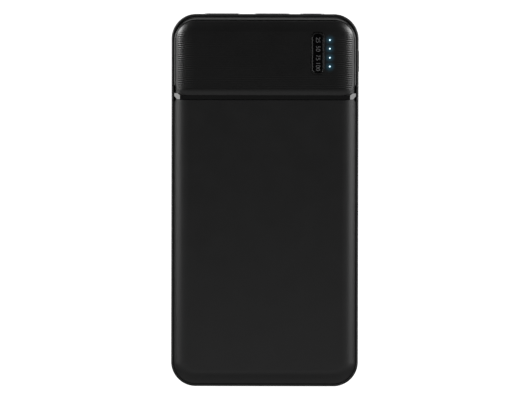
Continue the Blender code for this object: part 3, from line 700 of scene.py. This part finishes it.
def pad_edge(x):
    """The upper edge of the plain field, which has rounded corners."""
    past = abs(x) - (HALF_WIDTH - COVER_INSET - PAD_CORNER)
    past = min(max(0.0, past), PAD_CORNER)
    return CHANNEL_Y[0] - PAD_CORNER + math.sqrt(PAD_CORNER * PAD_CORNER - past * past)


def channel_cutter():
    """The strip's channel, whose lower edge follows the plain field's rounded corners."""
    low_y, high_y = CHANNEL_Y
    bm = box_bm((-HALF_WIDTH, low_y, 0.0), (HALF_WIDTH, high_y, 3 * MM))
    round_brim(bm, CHANNEL_DEPTH)
    side = HALF_WIDTH - COVER_INSET
    corner_cuts = [side - PAD_CORNER * (1 - math.sin(math.radians(15 * i))) for i in range(7)]
    slice_along(bm, 0, shoulder_cuts() + corner_cuts + [-place for place in corner_cuts])
    for v in bm.verts:
        share = (v.co.y - low_y) / (high_y - low_y)
        low_edge, high_edge = pad_edge(v.co.x), along(GROOVE_HIGH, v.co.x)
        v.co.y = low_edge + share * (high_edge - low_edge)
    return cutter("channel", let_in(bm))


def front_cover(looks):
    """The lid: the plain lower field, the panel's pocket and the strip's channel."""
    first_inset = COVER_INSET + EDGE_ROUNDING * 0.5
    steep = math.degrees(math.asin((SHOULDER - first_inset) / SHOULDER))
    shoulder_z = front_height(HALF_WIDTH - first_inset, 0.0)
    turned = EDGE_ROUNDING * 0.5 / (1 - math.sin(math.radians(steep)))
    bm = case_plate(COVER_INSET, COVER_LOW[2], shoulder_z - turned * math.cos(math.radians(steep)))
    top = facing(bm, (0, 0, 1))
    roll_in(bm, top, turned, 90.0, steep, 4)
    roll_in(bm, top, SHOULDER, steep, 0.0, 18)
    cover = piece("front_cover_moulding", bm, looks["case_plastic"], looks["rim_plastic"])
    end = HALF_LENGTH - COVER_INSET - SKIRT_WIDTH
    outer = 7 * MM
    inner = 3.5 * MM
    step_low, step_high = CEILING_STEP_Y
    carve(
        cover,
        cover_hollow("lower_hollow", -end, step_low, outer, inner, LOWER_CEILING),
        cover_hollow("upper_hollow", step_high, end, inner, outer, UPPER_CEILING),
        pocket_cutter(),
        channel_cutter(),
        *light_holes("cover_light", LIGHT_HOLE_IN_LID),
    )
    for face in cover.data.polygons:
        x, y, z = face.center
        if y > CHANNEL_Y[1] and edge_distance(x, y) < RIM_BAND and z > RIM_TOP:
            face.material_index = 1
    soften(cover, 0.09 * MM, 3)
    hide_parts("front_cover")
    return cover


def panel_lip(looks):
    """The lip on the lid round the panel's sides and port end. Its top slopes outwards."""
    half_x, end_y = LIP_OUTSIDE
    bm = plate(half_x, 0.0, end_y, 2 * MM, LIP_CORNER, *LIP_Z)
    top = facing(bm, (0, 0, 1))
    steepest, flattest = LIP_LEAN
    roll_in(bm, top, LIP_EDGE, 90.0, steepest, 3)
    roll_in(bm, top, LIP_CROWN, steepest, flattest, 4)
    for v in bm.verts:
        if v.co.z > LIP_Z[1]:
            v.co.z += (v.co.z - LIP_Z[1]) * LIP_STEEPENS_BY * ramp_up(v.co.y, *LIP_STEEPENS_Y)
    lip = piece("panel_lip", bm, looks["rim_plastic"])
    side, end = LIP_WIDTH
    opening = plate(half_x - side, -MM, end_y - end, 2 * MM, LIP_CORNER - side, 0.0, 20 * MM)
    below = box_bm((-HALF_WIDTH, -5 * MM, 0.0), (HALF_WIDTH, LIP_END_Y, 20 * MM))
    carve(lip, cutter("opening", opening), cutter("below", below))
    soften(lip, 0.05 * MM, 2, 25.0)
    return lip


def light_holes(name, radius):
    """Round cutters through the front, one at each lit dot."""
    holes = []
    depth = 10 * MM
    for number, y in enumerate(LIGHT_Y, start=1):
        bm = bmesh.new()
        bmesh.ops.create_cone(bm, cap_ends=True, segments=24, radius1=radius, radius2=radius, depth=depth)
        bmesh.ops.translate(bm, verts=bm.verts, vec=(LIGHT_X, y, LIGHT_HOLE_FOOT + depth / 2))
        holes.append(cutter(f"{name}_{number}", bm))
    return holes


# Upper panel and strip


def panel_height(x, y):
    """The case's front with fine ribs along X, a plain edge and a bevel down to the strip."""
    from_low = y - PANEL_LOW_Y
    inside = rounded_distance(x, y)
    ribbed = ramp_up(inside, PLAIN_EDGE, PLAIN_EDGE + PLAIN_FADE)
    ribbed *= ramp_up(from_low, LOWER_BEVEL, LOWER_BEVEL + PLAIN_FADE)
    wave = 0.5 - 0.5 * math.cos(2 * math.pi * from_low / RIB_PITCH)
    slope = max(0.0, 1.0 - from_low / LOWER_BEVEL)
    strong = ramp_up(abs(x), *RIB_FADE_X) * (1 - ramp_up(y, *RIB_FADE_Y))
    ribbed *= RIB_IN_MIDDLE + (1 - RIB_IN_MIDDLE) * strong
    edge = max(0.0, PANEL_ROUNDING - inside)
    rounded = PANEL_ROUNDING - math.sqrt(max(0.0, PANEL_ROUNDING * PANEL_ROUNDING - edge * edge))
    return front_height(x, y) - RIB_HEIGHT * wave * ribbed - LOWER_BEVEL_DROP * slope * slope - rounded


def rounded_distance(x, y):
    """How far a point lies inside the panel's own outline."""
    corner = PANEL_CORNERS[1] if y > (PANEL_LOW_Y + PANEL_HIGH_Y) / 2 else PANEL_CORNERS[0]
    across = abs(x) - (PANEL_HALF_WIDTH - corner)
    along = abs(y - (PANEL_LOW_Y + PANEL_HIGH_Y) / 2) - ((PANEL_HIGH_Y - PANEL_LOW_Y) / 2 - corner)
    outside = math.hypot(max(across, 0.0), max(along, 0.0))
    return corner - outside - min(max(across, along), 0.0)


def control_panel(looks):
    """The ribbed panel, cut finely enough for its ribs, with the window's slot and the dots' holes."""
    bm = panel_plate(0.0, 0.0, MM)
    face = facing(bm, (0, 0, 1))
    tilts = [math.radians(18 * step) for step in range(6)]
    for a, b in zip(tilts, tilts[1:]):
        step_in(bm, face, PANEL_ROUNDING * (math.cos(a) - math.cos(b)), 0.0)
    for inset in (PLAIN_EDGE - PANEL_ROUNDING, PLAIN_FADE):
        step_in(bm, face, inset, 0.0)
    fade_start, fade_end = RIB_FADE_X
    fade_cuts = [fade_start + (fade_end - fade_start) * i / 4 for i in range(5)]
    slice_along(bm, 0, shoulder_cuts(16) + fade_cuts + [-place for place in fade_cuts])
    rows = int((PANEL_HIGH_Y - PANEL_LOW_Y) / RIB_PITCH * RIB_SAMPLES)
    slice_along(bm, 1, [PANEL_LOW_Y + RIB_PITCH * row / RIB_SAMPLES for row in range(1, rows + 1)])
    drape(bm, lowered(PANEL_THICKNESS), panel_height)
    panel = piece("ribbed_panel", bm, looks["panel_plastic"])
    slot_z = (TOP - 3 * MM, TOP + 1 * MM)
    slot = window_plate("window_slot", (BEZEL_LOW, BEZEL_HIGH), WINDOW_GAP, SLOT_CORNER, *slot_z)
    carve(panel, slot, *light_holes("panel_light", LIGHT_HOLE), smooth=50.0)
    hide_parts("control_panel")
    return panel


def strip_height(x, y):
    """The strip lies level in its groove and slopes down to its ends from a crease."""
    return STRIP_MIDDLE_Z - STRIP_SLOPE * max(0.0, abs(x) - STRIP_CREASE)


def accent_strip(looks):
    """The gloss strip, whose ends are drawn out to the outlines of its channel."""
    low_y, high_y = STRIP_LOW[1], STRIP_HIGH[1]
    bm = box_bm((-HALF_WIDTH + COVER_INSET, low_y, 0.0), (HALF_WIDTH - COVER_INSET, high_y, MM))
    places = [STRIP_CREASE] + [reach * MM for reach, _ in STRIP_LOW_EDGE[:1] + STRIP_HIGH_EDGE[:2]]
    slice_along(bm, 0, places + [-place for place in places])
    for v in bm.verts:
        edges = STRIP_LOW_EDGE if v.co.y < (low_y + high_y) / 2 else STRIP_HIGH_EDGE
        v.co.y = along(edges, v.co.x)
    drape(bm, lambda x, y: strip_height(x, y) - STRIP_THICKNESS, strip_height)
    strip = piece("gloss_strip", bm, looks["gloss_strip"], smooth=20.0)
    soften(strip, 0.06 * MM, angle=50.0)
    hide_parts("accent_strip")
    return strip


# Window and its scale


def window_plate(name, box, gap, corner, z_low, z_high):
    """A pill-shaped cutter round a node's box, wider by a gap on all sides."""
    low, high = box
    centre_x = (low[0] + high[0]) / 2
    half_x = (high[0] - low[0]) / 2 + gap
    bm = plate(half_x, low[1] - gap, high[1] + gap, corner + gap, corner + gap, z_low, z_high, 10)
    bmesh.ops.translate(bm, verts=bm.verts, vec=(centre_x, 0, 0))
    return cutter(name, bm)


def pill_window(looks):
    """The gloss lens, its ring and the printed scale that names the lit dots."""
    low, high = BEZEL_LOW, BEZEL_HIGH
    centre_x = (low[0] + high[0]) / 2
    half = (high[0] - low[0]) / 2
    bm = plate(half, low[1], high[1], RING_CORNER, RING_CORNER, low[2], TOP - 0.02 * MM, 12)
    bmesh.ops.translate(bm, verts=bm.verts, vec=(centre_x, 0, 0))
    ring = piece("window_ring", bm, looks["rim_plastic"])
    hole_z = (0.0, 20 * MM)
    hole = window_plate("ring_hole", (WINDOW_LOW, WINDOW_HIGH), WINDOW_GAP, RING_HOLE_CORNER, *hole_z)
    carve(ring, hole)
    soften(ring, 0.38 * MM, 5)
    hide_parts("window_bezel")

    low, high = WINDOW_LOW, WINDOW_HIGH
    half = (high[0] - low[0]) / 2
    bm = plate(half, low[1], high[1], LENS_CORNER, LENS_CORNER, low[2], high[2] - LENS_EDGE, 12)
    roll_in(bm, facing(bm, (0, 0, 1)), LENS_EDGE, 80.0, 10.0, 3)
    bmesh.ops.translate(bm, verts=bm.verts, vec=(centre_x, 0, 0))
    lens = piece("window_lens", bm, looks["window_gloss"], smooth=15.0)
    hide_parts("capacity_window")
    for label, y in zip(("25", "50", "75", "100"), LIGHT_Y):
        numeral(f"scale_{label}", label, (centre_x, y, high[2]), looks["pale_ink"])


def numeral(name, label, place, material):
    """A printed number that reads with the port end to the left."""
    curve = bpy.data.curves.new(name, "FONT")
    curve.body = label
    curve.size = NUMERAL_SIZE
    curve.offset = -NUMERAL_THINNING
    curve.extrude = INK_THICKNESS
    curve.align_x = "CENTER"
    curve.align_y = "CENTER"
    holder = bpy.data.objects.new(name, curve)
    bpy.context.scene.collection.objects.link(holder)
    graph = bpy.context.evaluated_depsgraph_get()
    mesh = bpy.data.meshes.new_from_object(holder.evaluated_get(graph))
    bpy.data.objects.remove(holder, do_unlink=True)
    bm = bmesh.new()
    bm.from_mesh(mesh)
    bpy.data.meshes.remove(mesh)
    bmesh.ops.remove_doubles(bm, verts=bm.verts, dist=1e-7)
    turn(bm, -90.0, "Z")
    bmesh.ops.translate(bm, verts=bm.verts, vec=place)
    printed = piece(name, bm, material)
    return printed


def light_guide(looks):
    """A comb under the cover: one bar, a domed tip up to each dot and a leg down to each LED."""
    low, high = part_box("light_guide")
    bar_low, bar_high = LIGHT_BAR_Z
    overlap = 0.3 * MM
    bm = box_bm((low[0], low[1], bar_low), (high[0], high[1], bar_high))
    bmesh.ops.bevel(
        bm, geom=bm.edges, offset=0.2 * MM, segments=2, profile=0.5, affect="EDGES", material=-1
    )
    guide = piece("light_comb", bm, looks["light_guide"])
    rods = []
    for number, y in enumerate(LIGHT_Y, start=1):
        for name, radius, foot, head in (
            ("tip", LIGHT_TIP, bar_high - overlap, high[2] - LIGHT_TIP),
            ("leg", LIGHT_LEG, low[2], bar_low + overlap),
        ):
            bm = bmesh.new()
            bmesh.ops.create_cone(
                bm, cap_ends=True, segments=32, radius1=radius, radius2=radius, depth=head - foot
            )
            bmesh.ops.translate(bm, verts=bm.verts, vec=(LIGHT_X, y, (foot + head) / 2))
            if name == "tip":
                roll_in(bm, facing(bm, (0, 0, 1)), LIGHT_TIP, 90.0, 12.0, 6)
            rods.append(cutter(f"{name}_{number}", bm))
    carve(guide, *rods, operation="UNION")
    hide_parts("light_guide")
    return guide


# Button and sockets


def power_button(looks):
    """The cap with a rounded, slightly crowned face, its flange and its stem."""
    centre_y = (BUTTON_LOW[1] + BUTTON_HIGH[1]) / 2
    centre_z = (BUTTON_LOW[2] + BUTTON_HIGH[2]) / 2
    half_length = 4.0 * MM
    half_height = 1.4 * MM
    rounding = 0.2 * MM
    stem_inset = 0.85 * MM
    reach = BUTTON_HIGH[0]
    flange_low, flange_high = (x - reach for x in FLANGE_X)
    bm = plate(
        half_length, -half_height, half_height, 0.98 * half_height, 0.98 * half_height,
        flange_high, -rounding, 14,
    )
    roll_in(bm, facing(bm, (0, 0, 1)), rounding, 90.0, 12.0, 5)
    root = facing(bm, (0, 0, -1))
    bmesh.ops.inset_individual(bm, faces=[root], thickness=0.0, depth=0.0)
    bmesh.ops.scale(bm, vec=(1.2, 1.3, 1.0), verts=root.verts)
    for v in root.verts:
        v.co.z = flange_high
    step_in(bm, root, 0.0, flange_high - flange_low)
    step_in(bm, root, stem_inset, 0.0)
    stem_end = BUTTON_LOW[0] - reach
    step_in(bm, root, 0.0, flange_low - stem_end)
    turn(bm, 90.0, "X")
    turn(bm, 90.0, "Z")
    bmesh.ops.translate(bm, verts=bm.verts, vec=(reach, centre_y, centre_z))
    cap = piece("button_cap", bm, looks["case_plastic"], body="button")
    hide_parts("power_button")
    return cap


def socket_shell(node, corner, looks):
    """A drawn steel tube with a softly rounded lip."""
    low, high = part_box(node)
    half_x = (high[0] - low[0]) / 2
    bm = plate(half_x, low[2], high[2], corner, corner, 0.0, high[1] - low[1], 10)
    for direction in ((0, 0, 1), (0, 0, -1)):
        step_in(bm, facing(bm, direction), SHEET_STEEL, 0.0)
    ends = [facing(bm, direction) for direction in ((0, 0, 1), (0, 0, -1))]
    loops = [edge for face in ends for edge in face.edges]
    bmesh.ops.delete(bm, geom=ends, context="FACES_ONLY")
    bmesh.ops.bridge_loops(bm, edges=loops)
    turn(bm, 90.0, "X")
    bmesh.ops.translate(bm, verts=bm.verts, vec=((low[0] + high[0]) / 2, high[1], 0))
    shell = piece(f"{node}_drawn", bm, looks["port_steel"])
    soften(shell, 0.1 * MM, 3, 50.0)
    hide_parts(node)
    return shell


# Carried-over nodes


def finish_nodes(looks):
    """Gives every node that stays the procedural material of its slot."""
    slots = {row["node"]: row["material_slot"] for row in frame["record"]["subparts"]}
    for node, obj in frame["nodes"].items():
        obj.data.materials.clear()
        obj.data.materials.append(looks[slots[node]])


# Floor, light and camera


def stage_floor():
    """A wide white floor. It shows to the camera only, so it neither lights nor is mirrored in the case."""
    bm = bmesh.new()
    half_width = 6.0
    gap = 0.05 * MM
    bmesh.ops.create_grid(bm, x_segments=1, y_segments=1, size=half_width)
    bmesh.ops.translate(bm, verts=bm.verts, vec=(0.0, 0.0, -gap))
    floor = piece("floor", bm, body=None)
    material = bpy.data.materials.new("floor_white")
    material.use_nodes = True
    shader = material.node_tree.nodes["Principled BSDF"]
    shader.inputs["Base Color"].default_value = (0.9, 0.9, 0.9, 1.0)
    shader.inputs["Roughness"].default_value = 0.9
    shader.inputs["Emission Color"].default_value = (1.0, 1.0, 1.0, 1.0)
    shader.inputs["Emission Strength"].default_value = 0.95
    floor.data.materials.append(material)
    floor.visible_glossy = False
    floor.visible_diffuse = False
    floor.visible_shadow = False


def area_light(name, place, target, size, radiance, shape="RECTANGLE"):
    """A panel of the given size and brightness that faces the target."""
    data = bpy.data.lights.new(name, "AREA")
    data.shape = shape
    data.size, data.size_y = size
    area = size[0] * size[1] * (math.pi / 4 if shape == "ELLIPSE" else 1.0)
    data.energy = math.pi * area * radiance
    light = bpy.data.objects.new(name, data)
    bpy.context.scene.collection.objects.link(light)
    light.location = place
    light.rotation_euler = (Vector(target) - Vector(place)).to_track_quat("-Z", "Y").to_euler()
    light.visible_camera = False
    return light


def light_only(light, objs):
    """Flags a light off from everything but some objects."""
    lit = bpy.data.collections.new(f"lit_by_{light.name}")
    for obj in objs:
        lit.objects.link(obj)
    light.light_linking.receiver_collection = lit


def studio_light(panel, lip):
    """Softboxes at the sides and port corners, weak panels above and in front, and a card behind."""
    world = bpy.data.worlds.new("studio")
    world.use_nodes = True
    background = world.node_tree.nodes["Background"]
    background.inputs["Color"].default_value = (1.0, 1.0, 1.0, 1.0)
    background.inputs["Strength"].default_value = 0.066
    bpy.context.scene.world = world
    area_light("side_softbox_left", (-0.45, 0.2, 0.12), (0.0, 0.0, 0.01), (0.5, 0.31), 2.85)
    area_light("side_softbox_right", (0.45, 0.18, 0.13), (0.0, -0.01, 0.01), (0.54, 0.35), 2.6)
    for side in (-1, 1):
        corner = Vector((side * 0.03, 0.065, 0.015))
        place = corner + Vector((side * 0.026, 0.011, 0.0062))
        softbox = area_light(f"corner_softbox_{side}", place, corner, (0.014, 0.0125), 9.5, "ELLIPSE")
        light_only(softbox, (panel, lip))
    area_light("overhead_panel", (0.0, -0.19, 0.46), (0.0, -0.19, 0.0), (1.6, 0.26), 0.39)
    area_light("front_panel", (0.0, -1.2, 0.18), (0.0, 0.0, 0.01), (3.0, 1.75), 0.18)
    area_light("rear_card", (0.0, 0.55, -0.145), (0.0, 0.07, 0.012), (0.8, 0.24), 0.9)


def add_camera():
    width = 0.2015
    distance = 3.0
    tilt = math.radians(2.3)
    roll = math.radians(0.12)
    data = bpy.data.cameras.new("camera")
    data.sensor_width = 36.0
    data.lens = 36.0 * distance / width
    data.shift_x = -0.0009
    data.shift_y = 0.0004
    data.clip_start = 0.01
    camera = bpy.data.objects.new("camera", data)
    bpy.context.scene.collection.objects.link(camera)
    target = Vector((0.0, 0.0, 0.01))
    camera.location = target + distance * Vector((0.0, math.sin(tilt), math.cos(tilt)))
    camera.rotation_euler = (-tilt, 0.0, roll)
    bpy.context.scene.camera = camera


def build():
    bpy.context.scene.view_settings.view_transform = "Standard"
    add_camera()
    looks = make_looks()
    finish_nodes(looks)
    back_shell(looks)
    front_cover(looks)
    lip = panel_lip(looks)
    panel = control_panel(looks)
    accent_strip(looks)
    pill_window(looks)
    light_guide(looks)
    power_button(looks)
    for number in (1, 2):
        socket_shell(f"usb_a_shell_{number}", USB_A_CORNER, looks)
    socket_shell("usb_c_shell", USB_C_CORNER, looks)
    stage_floor()
    studio_light(panel, lip)


build()
